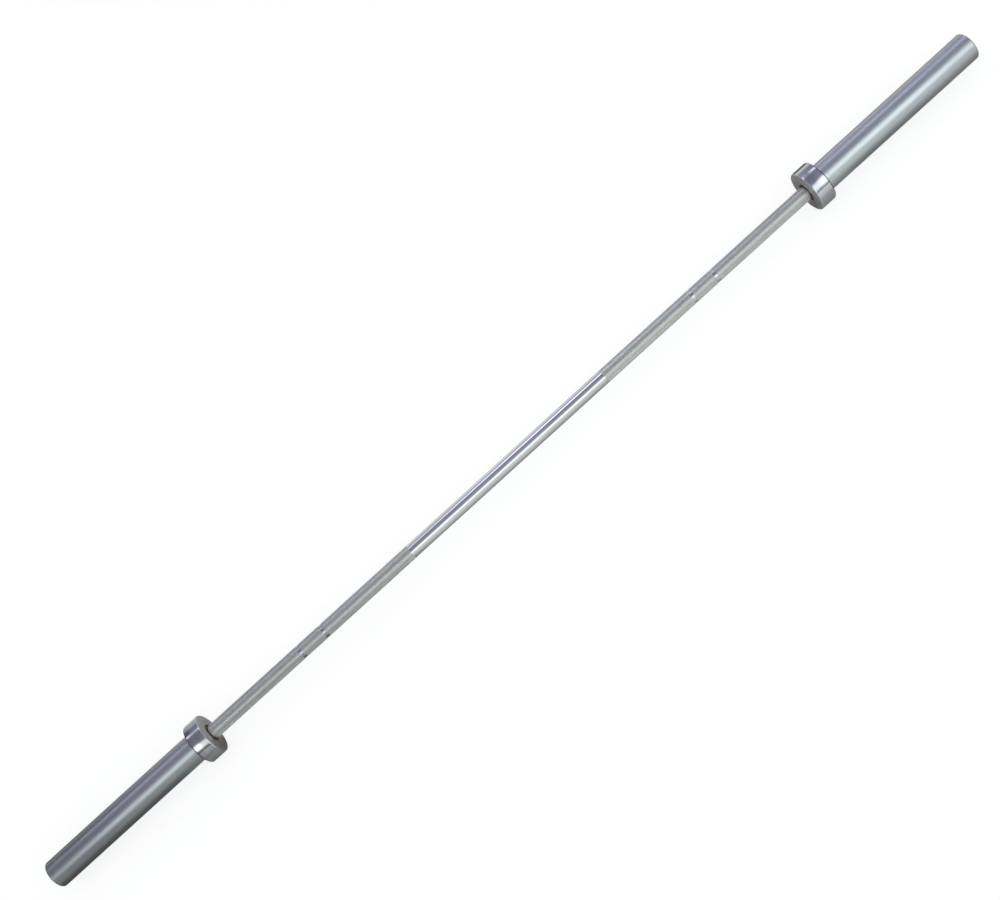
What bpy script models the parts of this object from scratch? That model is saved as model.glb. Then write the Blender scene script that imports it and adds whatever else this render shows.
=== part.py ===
"""A 15 kg barbell: a one-piece steel shaft with a sleeve that spins on each end.

The bar lies along X with its middle at the origin, +Z up. Each end is drawn once, in a frame whose
origin is in the middle of the collar's inner face and whose +X points out along the sleeve. The
left end is the same end turned about. All lengths are in metres.
"""

import math

import bmesh
import bpy
from mathutils import Matrix, Vector

MM = 0.001

# The whole bar
BAR_LENGTH = 2010 * MM
BETWEEN_COLLARS = 1310 * MM
GAP = 0.3 * MM
FLAT_COUNT = 32

# Shaft: grip, knurled bands and the smooth mark rings between them
SHAFT_DIAMETER = 25 * MM
SMOOTH_CENTRE_LENGTH = 425 * MM
KNURL_RISE = 0.15 * MM
KNURL_RUNOUT = 0.6 * MM
KNURL_TO_COLLAR = 3 * MM
MARK_SPACING = 810 * MM
MARK_STEP = 50 * MM
MARK_WIDTH = 6 * MM
MARK_DEPTH = 0.15 * MM

# Shaft: the journal that the sleeve runs on
JOURNAL_DIAMETER = 22 * MM
SHOULDER_DEPTH = 1.5 * MM
SHAFT_END_CLEARANCE = 2.5 * MM
SHAFT_END_CHAMFER = 1.5 * MM
SNAP_GROOVE_DEPTH = 0.8 * MM
SNAP_GROOVE_LAND = 4 * MM

# Sleeve
SLEEVE_DIAMETER = 50 * MM
SLEEVE_BORE = 33 * MM
SLEEVE_END_CHAMFER = 2 * MM
SLEEVE_MOUTH_CHAMFER = 0.8 * MM

# Collar
COLLAR_DIAMETER = 75 * MM
COLLAR_WIDTH = 30 * MM
COLLAR_INNER_ROUND = 3 * MM
COLLAR_OUTER_ROUND = 2.5 * MM
COLLAR_BORE_CHAMFER = 0.6 * MM
ROUND_STEPS = 3

# Pin that locks the collar to the sleeve
PIN_DIAMETER = 5 * MM
PIN_DEPTH_IN_SLEEVE = 5 * MM
PIN_SUNK = 0.8 * MM
PIN_CHAMFER = 0.5 * MM
PIN_FLAT_COUNT = 16
PIN_ANGLE = math.radians(-45)

# Bushings and thrust washers
BUSHING_LENGTH = 35 * MM
BUSHING_CHAMFER = 0.8 * MM
INNER_WASHER_THICKNESS = 2 * MM
OUTER_WASHER_THICKNESS = 2.5 * MM

# Snap ring on the shaft
SNAP_RING_THICKNESS = 1.75 * MM
SNAP_RING_WIDTH = 3 * MM
SNAP_RING_OPENING = math.radians(30)
SNAP_RING_LUG_RADIUS = 2.2 * MM
SNAP_RING_HOLE_DIAMETER = 2 * MM
SNAP_RING_STEPS = 30
LUG_STEPS = 12

# End cap, its seal and its snap ring
CAP_POCKET_DIAMETER = 38 * MM
CAP_POCKET_DEPTH = 12 * MM
CAP_FLANGE_THICKNESS = 6 * MM
CAP_BOSS_DIAMETER = 31 * MM
CAP_SUNK = 1 * MM
CAP_CHAMFER = 0.6 * MM
CAP_TAP_DIAMETER = 6 * MM
CAP_TAP_DEPTH = 6 * MM
SEAL_SECTION = 2.4 * MM
SEAL_FLAT_COUNT = 8
CAP_RING_THICKNESS = 1.5 * MM
CAP_RING_WIDTH = 2.6 * MM
CAP_RING_GROOVE_DEPTH = 1 * MM
CAP_RING_OPENING = math.radians(24)
CAP_RING_STEPS = 30

# Radii that follow from the sizes above
shaft_radius = SHAFT_DIAMETER / 2
knurl_radius = shaft_radius + KNURL_RISE
journal_radius = JOURNAL_DIAMETER / 2
snap_groove_radius = journal_radius - SNAP_GROOVE_DEPTH
bushing_bore_radius = journal_radius + GAP
sleeve_radius = SLEEVE_DIAMETER / 2
sleeve_bore_radius = SLEEVE_BORE / 2
bushing_radius = sleeve_bore_radius - GAP
collar_radius = COLLAR_DIAMETER / 2
collar_bore_radius = sleeve_radius + GAP
pocket_radius = CAP_POCKET_DIAMETER / 2
cap_radius = pocket_radius - GAP
cap_ring_groove_radius = pocket_radius + CAP_RING_GROOVE_DEPTH

# Places along one end, measured out from the collar's inner face
collar_face = BETWEEN_COLLARS / 2
sleeve_end = BAR_LENGTH / 2 - collar_face
shoulder = SHOULDER_DEPTH
inner_washer_start = shoulder + GAP
inner_washer_end = inner_washer_start + INNER_WASHER_THICKNESS
inner_bushing_start = inner_washer_end + GAP
pocket_floor = sleeve_end - CAP_POCKET_DEPTH
shaft_end = pocket_floor - SHAFT_END_CLEARANCE
snap_groove_end = shaft_end - SNAP_GROOVE_LAND
snap_ring_start = snap_groove_end - GAP - SNAP_RING_THICKNESS
snap_groove_start = snap_ring_start - GAP
outer_washer_start = snap_ring_start - GAP - OUTER_WASHER_THICKNESS
outer_bushing_start = outer_washer_start - GAP - BUSHING_LENGTH
cap_start = pocket_floor + GAP
cap_flange_end = cap_start + CAP_FLANGE_THICKNESS
cap_end = sleeve_end - CAP_SUNK
cap_ring_start = cap_flange_end + GAP
cap_ring_end = cap_ring_start + CAP_RING_THICKNESS


def material(name, colour, roughness, metallic=1.0):
    """A plain Principled material in the piece's own colour."""
    made = bpy.data.materials.new(name)
    made.use_nodes = True
    shader = made.node_tree.nodes["Principled BSDF"]
    shader.inputs["Base Color"].default_value = (*colour, 1.0)
    shader.inputs["Roughness"].default_value = roughness
    shader.inputs["Metallic"].default_value = metallic
    return made


def close_mesh(name, bm, finish):
    """Turns a finished bmesh into a smooth-shaded mesh with sharp corners kept."""
    bmesh.ops.remove_doubles(bm, verts=bm.verts, dist=1e-7)
    bmesh.ops.recalc_face_normals(bm, faces=bm.faces)
    mesh = bpy.data.meshes.new(name)
    bm.to_mesh(mesh)
    bm.free()
    mesh.materials.append(finish)
    mesh.shade_smooth()
    mesh.set_sharp_from_angle(angle=math.radians(30))
    return mesh


def outline_points(bm, outline, flats):
    """The outline's corners beside the X axis, half a flat round so that flats face Y and Z.

    Radii are measured to the middle of the flats, as a gauge across the flats would read them.
    """
    half_flat = math.pi / flats
    points = []
    for along, radius in outline:
        corner = radius / math.cos(half_flat)
        place = (along, corner * math.cos(half_flat), corner * math.sin(half_flat))
        points.append(bm.verts.new(place))
    return points


def turned(name, outline, finish, flats=FLAT_COUNT):
    """A ring turned about X from a closed outline of (along, radius) corners."""
    bm = bmesh.new()
    points = outline_points(bm, outline, flats)
    edges = [bm.edges.new((a, b)) for a, b in zip(points, points[1:] + points[:1])]
    spin_all_round(bm, points + edges, flats)
    return close_mesh(name, bm, finish)


def turned_solid(name, outline, finish, flats=FLAT_COUNT):
    """A solid turned about X from an open outline whose first and last corners are on the axis."""
    bm = bmesh.new()
    points = outline_points(bm, outline, flats)
    edges = [bm.edges.new((a, b)) for a, b in zip(points, points[1:])]
    spin_all_round(bm, points + edges, flats)
    return close_mesh(name, bm, finish)


def spin_all_round(bm, geometry, flats):
    """Spins points and edges once about the X axis and joins the ends."""
    bmesh.ops.spin(
        bm,
        geom=geometry,
        cent=(0, 0, 0),
        axis=(1, 0, 0),
        angle=math.tau,
        steps=flats,
        use_merge=True,
    )


def arc(centre_along, centre_radius, size, start, end, steps):
    """Corners of an outline's rounding, from one angle to another."""
    points = []
    for step in range(steps + 1):
        angle = start + (end - start) * step / steps
        along = centre_along + size * math.cos(angle)
        points.append((along, centre_radius + size * math.sin(angle)))
    return points


def open_ring(name, start, thickness, inner, outer, opening, steps, finish):
    """A flat C-shaped ring about X, open at the top."""
    bm = bmesh.new()
    section = [
        (start, inner),
        (start + thickness, inner),
        (start + thickness, outer),
        (start, outer),
    ]
    points = [bm.verts.new((along, 0, radius)) for along, radius in section]
    face = bm.faces.new(points)
    about_x = Matrix.Rotation(opening / 2, 3, "X")
    bmesh.ops.rotate(bm, verts=points, cent=(0, 0, 0), matrix=about_x)
    bmesh.ops.spin(
        bm,
        geom=[face] + list(face.edges) + points,
        cent=(0, 0, 0),
        axis=(1, 0, 0),
        angle=math.tau - opening,
        steps=steps,
    )
    return close_mesh(name, bm, finish)


def shaft_half_outline():
    """The shaft's outline from its smooth centre out to its end on the axis."""
    points = []
    bands = [SMOOTH_CENTRE_LENGTH / 2]
    for mark in (MARK_SPACING / 2, MARK_SPACING / 2 + MARK_STEP):
        bands += [mark - MARK_WIDTH / 2, mark + MARK_WIDTH / 2]
    bands.append(collar_face - KNURL_TO_COLLAR)
    for index, (start, end) in enumerate(zip(bands[0::2], bands[1::2])):
        before = shaft_radius if index == 0 else shaft_radius - MARK_DEPTH
        after = shaft_radius if index == 2 else shaft_radius - MARK_DEPTH
        points += [(start, before), (start + KNURL_RUNOUT, knurl_radius)]
        points += [(end - KNURL_RUNOUT, knurl_radius), (end, after)]
    journal = [
        (shoulder, shaft_radius),
        (shoulder, journal_radius),
        (snap_groove_start, journal_radius),
        (snap_groove_start, snap_groove_radius),
        (snap_groove_end, snap_groove_radius),
        (snap_groove_end, journal_radius),
        (shaft_end - SHAFT_END_CHAMFER, journal_radius),
        (shaft_end, journal_radius - SHAFT_END_CHAMFER),
        (shaft_end, 0.0),
    ]
    points += [(collar_face + along, radius) for along, radius in journal]
    return points


def shaft_mesh():
    """The whole shaft: the half outline and its mirror image, turned about X."""
    half = shaft_half_outline()
    outline = [(-along, radius) for along, radius in reversed(half)] + half
    finish = material("shaft_steel", (0.60, 0.60, 0.60), 0.34)
    return turned_solid("shaft", outline, finish)


def sleeve_mesh():
    """The sleeve's tube, with the cap's stepped pocket and ring groove in its outer end."""
    ring_start = cap_ring_start - GAP
    ring_end = cap_ring_end + GAP
    mouth = SLEEVE_MOUTH_CHAMFER
    round_centre = sleeve_end - SLEEVE_END_CHAMFER
    outline = [
        (mouth, sleeve_bore_radius),
        (0.0, sleeve_bore_radius + mouth),
        (0.0, sleeve_radius - COLLAR_BORE_CHAMFER),
        (COLLAR_BORE_CHAMFER, sleeve_radius),
    ]
    outline += arc(
        round_centre,
        sleeve_radius - SLEEVE_END_CHAMFER,
        SLEEVE_END_CHAMFER,
        math.pi / 2,
        0.0,
        ROUND_STEPS,
    )
    outline += [
        (sleeve_end, pocket_radius + mouth),
        (sleeve_end - mouth, pocket_radius),
        (ring_end, pocket_radius),
        (ring_end, cap_ring_groove_radius),
        (ring_start, cap_ring_groove_radius),
        (ring_start, pocket_radius),
        (pocket_floor, pocket_radius),
        (pocket_floor, sleeve_bore_radius),
    ]
    finish = material("sleeve_chrome", (0.66, 0.67, 0.70), 0.24)
    return turned("sleeve", outline, finish)


def collar_mesh():
    """The collar ring, rounded more on its inner face than on the face that plates sit on."""
    bore = COLLAR_BORE_CHAMFER
    outline = [(bore, collar_bore_radius), (0.0, collar_bore_radius + bore)]
    outline += arc(
        COLLAR_INNER_ROUND,
        collar_radius - COLLAR_INNER_ROUND,
        COLLAR_INNER_ROUND,
        math.pi,
        math.pi / 2,
        ROUND_STEPS,
    )
    outline += arc(
        COLLAR_WIDTH - COLLAR_OUTER_ROUND,
        collar_radius - COLLAR_OUTER_ROUND,
        COLLAR_OUTER_ROUND,
        math.pi / 2,
        0.0,
        ROUND_STEPS,
    )
    outline += [
        (COLLAR_WIDTH, collar_bore_radius + bore),
        (COLLAR_WIDTH - bore, collar_bore_radius),
    ]
    finish = material("collar_chrome", (0.68, 0.69, 0.72), 0.12)
    return turned("collar", outline, finish)


def pin_mesh():
    """The dowel pin, drawn along X from its inner end."""
    length = collar_radius - PIN_SUNK - (sleeve_radius - PIN_DEPTH_IN_SLEEVE + GAP)
    radius = PIN_DIAMETER / 2
    outline = [
        (0.0, 0.0),
        (0.0, radius - PIN_CHAMFER),
        (PIN_CHAMFER, radius),
        (length - PIN_CHAMFER, radius),
        (length, radius - PIN_CHAMFER),
        (length, 0.0),
    ]
    finish = material("pin_steel", (0.35, 0.35, 0.36), 0.4)
    return turned_solid("collar_pin", outline, finish, PIN_FLAT_COUNT)


def pin_hole_mesh():
    """The round hole for the pin, drawn along X and longer than the pin at its outer end."""
    length = collar_radius - sleeve_radius + PIN_DEPTH_IN_SLEEVE + COLLAR_INNER_ROUND
    radius = PIN_DIAMETER / 2 + GAP
    outline = [(0.0, 0.0), (0.0, radius), (length, radius), (length, 0.0)]
    finish = material("hole_guide", (0.5, 0.5, 0.5), 0.5, 0.0)
    return turned_solid("pin_hole", outline, finish, PIN_FLAT_COUNT)


def bushing_mesh():
    """A plain bronze bushing that fills the sleeve's bore round the journal."""
    chamfer = BUSHING_CHAMFER
    outline = [
        (chamfer, bushing_bore_radius),
        (0.0, bushing_bore_radius + chamfer),
        (0.0, bushing_radius - chamfer),
        (chamfer, bushing_radius),
        (BUSHING_LENGTH - chamfer, bushing_radius),
        (BUSHING_LENGTH, bushing_radius - chamfer),
        (BUSHING_LENGTH, bushing_bore_radius + chamfer),
        (BUSHING_LENGTH - chamfer, bushing_bore_radius),
    ]
    finish = material("bushing_bronze", (0.50, 0.30, 0.14), 0.38)
    return turned("bushing", outline, finish)


def washer_mesh(name, thickness, finish):
    """A flat thrust washer that runs on the journal, inside the sleeve's bore."""
    outline = [
        (0.0, bushing_bore_radius),
        (0.0, bushing_radius),
        (thickness, bushing_radius),
        (thickness, bushing_bore_radius),
    ]
    return turned(name, outline, finish)


def disc(radius, centre, start, end, flats):
    """A cutter or lug: a plain disc across X."""
    bm = bmesh.new()
    rim = []
    for step in range(flats):
        angle = math.tau * step / flats
        offset = Vector((0, radius * math.cos(angle), radius * math.sin(angle)))
        rim.append(bm.verts.new(Vector((start, 0, 0)) + centre + offset))
    face = bm.faces.new(rim)
    extruded = bmesh.ops.extrude_face_region(bm, geom=[face])
    moved = [item for item in extruded["geom"] if isinstance(item, bmesh.types.BMVert)]
    bmesh.ops.translate(bm, verts=moved, vec=(end - start, 0, 0))
    return bm


def guide(name, mesh):
    """An object that only shapes another one."""
    made = bpy.data.objects.new(name, mesh)
    made.hide_render = True
    made.display_type = "WIRE"
    bpy.context.scene.collection.objects.link(made)
    return made


def boolean(target, tool, operation):
    """Adds an exact Boolean with another object to a target."""
    cut = target.modifiers.new(tool.name, "BOOLEAN")
    cut.operation = operation
    cut.solver = "EXACT"
    cut.object = tool


def lug_places():
    """Centres of the snap ring's two lugs, beside its opening and clear of the groove's floor."""
    reach = snap_groove_radius + GAP + SNAP_RING_LUG_RADIUS
    angle = SNAP_RING_OPENING / 2 + SNAP_RING_LUG_RADIUS / reach
    sides = (-angle, angle)
    return [Vector((0, reach * math.sin(turn), reach * math.cos(turn))) for turn in sides]


def shape_snap_ring(ring, end):
    """Gives a shaft snap ring its two round lugs, with a hole in each for pliers."""
    finish = ring.data.materials[0]
    for index, centre in enumerate(lug_places()):
        lug_bm = disc(SNAP_RING_LUG_RADIUS, centre, 0.0, SNAP_RING_THICKNESS, LUG_STEPS)
        lug = guide(f"{ring.name}_lug_{index}", close_mesh("lug", lug_bm, finish))
        hole_radius = SNAP_RING_HOLE_DIAMETER / 2
        hole_bm = disc(hole_radius, centre, -GAP, SNAP_RING_THICKNESS + GAP, LUG_STEPS)
        hole = guide(f"{ring.name}_hole_{index}", close_mesh("lug_hole", hole_bm, finish))
        for tool, operation in ((lug, "UNION"), (hole, "DIFFERENCE")):
            tool.parent = end
            tool.location = (snap_ring_start, 0, 0)
            boolean(ring, tool, operation)


def cap_mesh():
    """The end cap: a flange with a seal groove, and a boss with a blind tapped hole for pulling."""
    groove_radius = pocket_radius - 2 * GAP - SEAL_SECTION
    groove_width = SEAL_SECTION + 2 * GAP
    groove_start = (CAP_FLANGE_THICKNESS - groove_width) / 2
    boss_radius = CAP_BOSS_DIAMETER / 2
    boss_end = cap_end - cap_start
    tap_radius = CAP_TAP_DIAMETER / 2
    outline = [
        (0.0, 0.0),
        (0.0, cap_radius - CAP_CHAMFER),
        (CAP_CHAMFER, cap_radius),
        (groove_start, cap_radius),
        (groove_start, groove_radius),
        (groove_start + groove_width, groove_radius),
        (groove_start + groove_width, cap_radius),
        (CAP_FLANGE_THICKNESS, cap_radius),
        (CAP_FLANGE_THICKNESS, boss_radius),
        (boss_end - CAP_CHAMFER, boss_radius),
        (boss_end, boss_radius - CAP_CHAMFER),
        (boss_end, tap_radius + CAP_CHAMFER),
        (boss_end - CAP_CHAMFER, tap_radius),
        (boss_end - CAP_TAP_DEPTH, tap_radius),
        (boss_end - CAP_TAP_DEPTH, 0.0),
    ]
    finish = material("cap_steel", (0.50, 0.51, 0.53), 0.3)
    return turned_solid("end_cap", outline, finish)


def seal_mesh():
    """The round-section rubber ring in the cap's groove."""
    section = SEAL_SECTION / 2
    ring_radius = pocket_radius - GAP - section
    turn = math.tau - math.tau / SEAL_FLAT_COUNT
    outline = arc(0.0, ring_radius, section, turn, 0.0, SEAL_FLAT_COUNT - 1)
    finish = material("seal_rubber", (0.02, 0.02, 0.02), 0.7, 0.0)
    return turned("cap_seal", outline, finish)


def empty(name, side):
    """The frame of one end. The left end is the right end turned about and rolled a quarter turn."""
    made = bpy.data.objects.new(name, None)
    made.location = (side * collar_face, 0, 0)
    if side < 0:
        made.rotation_euler = (math.radians(-90), 0, math.pi)
    bpy.context.scene.collection.objects.link(made)
    return made


def put(name, mesh, parent=None, along=0.0):
    """Makes one named piece at its place along its end of the bar."""
    made = bpy.data.objects.new(name, mesh)
    made.location = (along, 0, 0)
    made.parent = parent
    bpy.context.scene.collection.objects.link(made)
    return made


def place_pin(made, parent):
    """Sets a piece drawn along X radially in the collar, at the bottom of its hole."""
    made.parent = parent
    depth = sleeve_radius - PIN_DEPTH_IN_SLEEVE
    outward = Vector((0, math.cos(PIN_ANGLE), math.sin(PIN_ANGLE)))
    made.location = Vector((COLLAR_WIDTH / 2, 0, 0)) + outward * depth
    made.rotation_mode = "QUATERNION"
    made.rotation_quaternion = outward.to_track_quat("X", "Z")
    return outward


def build_end(side, name, meshes):
    """One end of the bar: what stays with the shaft, and what turns with the sleeve."""
    still = empty(f"{name}_shaft_end", side)
    put(f"{name}_inner_thrust_washer", meshes["inner_washer"], still, inner_washer_start)
    put(f"{name}_outer_thrust_washer", meshes["outer_washer"], still, outer_washer_start)
    ring = put(f"{name}_shaft_snap_ring", meshes["snap_ring"], still, snap_ring_start)
    shape_snap_ring(ring, still)

    turning = empty(f"{name}_sleeve_axis", side)
    sleeve = put(f"{name}_sleeve", meshes["sleeve"], turning)
    collar = put(f"{name}_collar", meshes["collar"], turning)
    hole = guide(f"{name}_pin_hole", meshes["pin_hole"])
    place_pin(hole, turning)
    boolean(sleeve, hole, "DIFFERENCE")
    boolean(collar, hole, "DIFFERENCE")
    pin = put(f"{name}_collar_pin", meshes["pin"])
    outward = place_pin(pin, turning)
    pin.location += outward * GAP
    put(f"{name}_inner_bushing", meshes["bushing"], turning, inner_bushing_start)
    put(f"{name}_outer_bushing", meshes["bushing"], turning, outer_bushing_start)
    put(f"{name}_end_cap", meshes["cap"], turning, cap_start)
    put(f"{name}_cap_seal", meshes["seal"], turning, cap_start + CAP_FLANGE_THICKNESS / 2)
    put(f"{name}_cap_snap_ring", meshes["cap_ring"], turning, cap_ring_start)


def build():
    """Clears the file and makes the barbell."""
    for old in list(bpy.data.objects):
        bpy.data.objects.remove(old)
    spring_steel = material("spring_steel", (0.16, 0.16, 0.17), 0.42)
    washer_bronze = material("washer_bronze", (0.46, 0.25, 0.12), 0.42)
    washer_steel = material("washer_steel", (0.42, 0.42, 0.44), 0.35)
    put("shaft", shaft_mesh())
    meshes = {
        "inner_washer": washer_mesh("inner_washer", INNER_WASHER_THICKNESS, washer_bronze),
        "outer_washer": washer_mesh("outer_washer", OUTER_WASHER_THICKNESS, washer_steel),
        "snap_ring": open_ring(
            "snap_ring",
            0.0,
            SNAP_RING_THICKNESS,
            snap_groove_radius + GAP,
            snap_groove_radius + GAP + SNAP_RING_WIDTH,
            SNAP_RING_OPENING,
            SNAP_RING_STEPS,
            spring_steel,
        ),
        "sleeve": sleeve_mesh(),
        "collar": collar_mesh(),
        "pin": pin_mesh(),
        "pin_hole": pin_hole_mesh(),
        "bushing": bushing_mesh(),
        "cap": cap_mesh(),
        "seal": seal_mesh(),
        "cap_ring": open_ring(
            "cap_ring",
            0.0,
            CAP_RING_THICKNESS,
            cap_ring_groove_radius - GAP - CAP_RING_WIDTH,
            cap_ring_groove_radius - GAP,
            CAP_RING_OPENING,
            CAP_RING_STEPS,
            spring_steel,
        ),
    }
    for side, name in ((1, "right"), (-1, "left")):
        build_end(side, name, meshes)


build()
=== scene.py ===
"""Finishes a packed barbell: fine turned surfaces, cut knurling, polished and brushed steel.

The bar lies along X and stands on its two collars. Lengths are in metres.
"""

import math
from typing import NamedTuple

import bmesh
import bpy
from bpy.props import FloatProperty, FloatVectorProperty, IntProperty, PointerProperty
from mathutils import Matrix, Vector


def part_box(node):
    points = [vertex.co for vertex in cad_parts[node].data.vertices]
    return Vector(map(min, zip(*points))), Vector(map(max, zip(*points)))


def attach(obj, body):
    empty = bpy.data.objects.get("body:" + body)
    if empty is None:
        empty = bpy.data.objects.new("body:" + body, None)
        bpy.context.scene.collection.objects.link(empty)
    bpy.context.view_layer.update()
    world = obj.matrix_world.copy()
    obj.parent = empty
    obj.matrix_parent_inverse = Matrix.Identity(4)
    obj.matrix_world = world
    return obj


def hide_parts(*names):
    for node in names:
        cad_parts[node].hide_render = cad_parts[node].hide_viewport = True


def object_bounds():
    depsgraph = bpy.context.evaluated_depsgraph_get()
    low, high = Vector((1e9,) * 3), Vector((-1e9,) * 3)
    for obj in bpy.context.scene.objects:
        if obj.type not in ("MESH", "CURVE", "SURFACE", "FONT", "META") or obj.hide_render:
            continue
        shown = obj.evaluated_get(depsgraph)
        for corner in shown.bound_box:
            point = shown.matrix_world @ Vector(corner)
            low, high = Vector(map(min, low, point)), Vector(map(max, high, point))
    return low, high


bl_info = {
    "name": "Barbell finishing",
    "version": (1, 0, 0),
    "blender": (4, 5, 0),
    "location": "3D View > Sidebar > Barbell",
    "description": "Turned, knurled and polished surfaces for a packed barbell",
    "category": "Object",
}

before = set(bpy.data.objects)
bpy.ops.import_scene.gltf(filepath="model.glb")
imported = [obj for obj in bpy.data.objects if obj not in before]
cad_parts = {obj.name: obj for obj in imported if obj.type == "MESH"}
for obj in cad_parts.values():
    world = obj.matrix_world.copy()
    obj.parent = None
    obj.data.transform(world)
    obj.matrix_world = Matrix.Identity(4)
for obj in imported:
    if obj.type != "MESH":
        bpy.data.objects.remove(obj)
CAD_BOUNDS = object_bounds()
FLOOR_LEVEL = CAD_BOUNDS[0][2]
SHAFT_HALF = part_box("shaft")[1][0]
KNURL_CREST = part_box("shaft")[1][2]

MM = 0.001

# The photograph in its own pixels: a point on the bar's axis, how far it lies along the bar from
# its middle, and the bar's slope and scale there
IMAGE_WIDTH = 1000
IMAGE_CENTRE = (499.5, 449.5)
AXIS_PIXEL = (511.57, 459.54)
PIXELS_FROM_MIDDLE = 6.3
BAR_SLOPE = math.radians(42.283)
PIXELS_PER_METRE = 613.0

# Where the camera stands: over the bar, a little right of its middle
CAMERA_DISTANCE = 2.1
CAMERA_ALONG = 0.05
CAMERA_ELEVATION = math.radians(65)
CAMERA_CLIP = (0.05, 100.0)

# The shaft's core
PLAIN_RADIUS = 12.5 * MM
MARK_RADIUS = 12.35 * MM
SHOULDER_IN_COLLAR = 1.5 * MM
SHOULDER_CHAMFER = 0.4 * MM
JOURNAL_RADIUS = 11 * MM
JOURNAL_CHAMFER = 1.5 * MM
SNAP_GROOVE_RADIUS = 10.2 * MM
FIT = 0.3 * MM

# The knurled bands, and how the core dips under their edges
KNURL_TO_COLLAR = 3 * MM
KNURL_SKIN_RADIUS = 12.0 * MM
DIAMOND_STRETCH = 1.73
FLAT_TOP = 0.62
CORE_UNDER_KNURL = 11.9 * MM
DIP_OUTSIDE = 0.15 * MM
DIP_STEP = 0.05 * MM
DIP_STEP_DEPTH = 0.25 * MM
DIP_INSIDE = 0.5 * MM

# The sleeves
SLEEVE_BORE_RADIUS = 16.5 * MM
SLEEVE_END_ROUND = 2 * MM
RING_UNDER_COLLAR = 2 * MM
MOUTH_CHAMFER = 0.8 * MM
POCKET_RADIUS = 19 * MM
POCKET_DEPTH = 12 * MM
RING_GROOVE_DEPTH = 1 * MM

# The collars
COLLAR_INNER_ROUND = 3 * MM
COLLAR_OUTER_ROUND = 2.5 * MM
COLLAR_SEAM = 0.12 * MM
COLLAR_BORE_CHAMFER = 0.6 * MM
FACE_CHAMFER = 0.2 * MM

# How far faces look along the bar, as a share: turned faces, and the collars' outer edges, which get
# a dark colour as painted shade
FACE_FROM = 0.5
EDGE_FROM = 0.3
EDGE_TO = 0.97

# The pins, their holes and the washers
PIN_RADIUS = 2.5 * MM
PIN_DEPTH_IN_SLEEVE = 5 * MM
PIN_SUNK = 0.8 * MM
PIN_EDGE = 0.5 * MM
DRILL_OVERSHOOT = 3 * MM
DRILL_SEGMENTS = 48
WASHER_EDGE = 0.3 * MM

# The end caps
CAP_FLANGE = 6 * MM
CAP_FLANGE_CHAMFER = 0.2 * MM
CAP_EDGE = 0.6 * MM
CAP_GROOVE_WIDTH = 3 * MM
CAP_GROOVE_FLOOR = 16 * MM
CAP_BOSS_RADIUS = 15.5 * MM
TAP_RADIUS = 2.6 * MM
TAP_DEPTH = 6 * MM
TAP_CONE = 0.8 * MM
THREAD_PITCH = 1 * MM
THREAD_DEPTH = 0.4 * MM

# The snap rings in front of the caps
CAP_RING_WIDTH = 2.6 * MM
CAP_RING_EDGE = 0.25 * MM
CAP_RING_OPENING = math.radians(24)
CAP_RING_MIDDLE = {"right": math.pi / 2, "left": math.pi}
CAP_RING_STEPS = 120
PLIERS_HOLE_RADIUS = 0.75 * MM
PLIERS_HOLE_REACH = 1.8 * MM

# Edges that bend by more degrees than this are sharp
SHARP_ANGLE = 35
KNURL_SHARP_ANGLE = 12

# Turned faces grow darker and warmer towards the axis: fully within the first radius, not at all
# past the second
AXIS_DARKENING_RADII = (17 * MM, 32 * MM)
AXIS_DARKENING_TINT = (0.9, 0.78, 0.68)

# The sockets that a Mix node has for colours
MIX_AMOUNT = 0
MIX_FIRST = 6
MIX_SECOND = 7
MIX_RESULT = 2

# The studio: how much light the world and floor give, and how they look
WORLD_FILL = 0.7
FLOOR_FILL = 0.8
FLOOR_MATT = 0.26
FLOOR_GLOW = 0.81
FLOOR_HALF_SIZE = 30.0

# Cards stand on a half-round over the bar, lie on the floor beside it and stand beyond its ends
STUDIO_RADIUS = 1.8
STUDIO_HALF_LENGTH = 2.6
CARD_COLUMNS = 52
CARD_ROWS = 24
FLOOR_CARD_STEP = 40 * MM
FLOOR_CARD_LIFT = 0.1 * MM
COLLAR_FOOT = 12 * MM
END_CARD_FOOT = 0.2
END_CARD_LEVEL = 0.12
WHITE = (0.98, 1.0, 0.99)
COOL_WHITE = (0.92, 1.0, 0.99)
LAVENDER = (0.80, 0.81, 1.0)

# Edges of the cards: (place along the bar in metres, elevation in degrees)
FRONT_HORIZON = ((0.0, -1.0),)
LINE_LOW = ((-1.4, 28.0), (-0.5, 22.0), (0.5, 21.0), (1.3, 25.5))
KEY_LOW = (
    (-1.55, 40.0),
    (-1.4, 37.5),
    (-1.3, 37.0),
    (-0.5, 23.0),
    (0.5, 21.5),
    (1.2, 32.3),
    (1.3, 30.5),
)
KEY_HIGH = ((-1.4, 75.0), (-1.3, 72.0), (0.0, 68.0), (1.2, 74.5), (1.35, 79.0))
HAIR_LOW = (
    (-1.85, 131.5),
    (-1.6, 130.0),
    (-1.25, 125.5),
    (-0.4, 124.0),
    (0.4, 124.0),
    (1.2, 125.5),
    (1.35, 128.5),
)
HAIR_HIGH = (
    (-1.85, 142.5),
    (-1.6, 141.0),
    (-1.25, 137.0),
    (-0.4, 136.0),
    (0.4, 136.0),
    (1.2, 143.5),
    (1.35, 139.5),
)
BACK_HORIZON = ((0.0, 180.0),)

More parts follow.
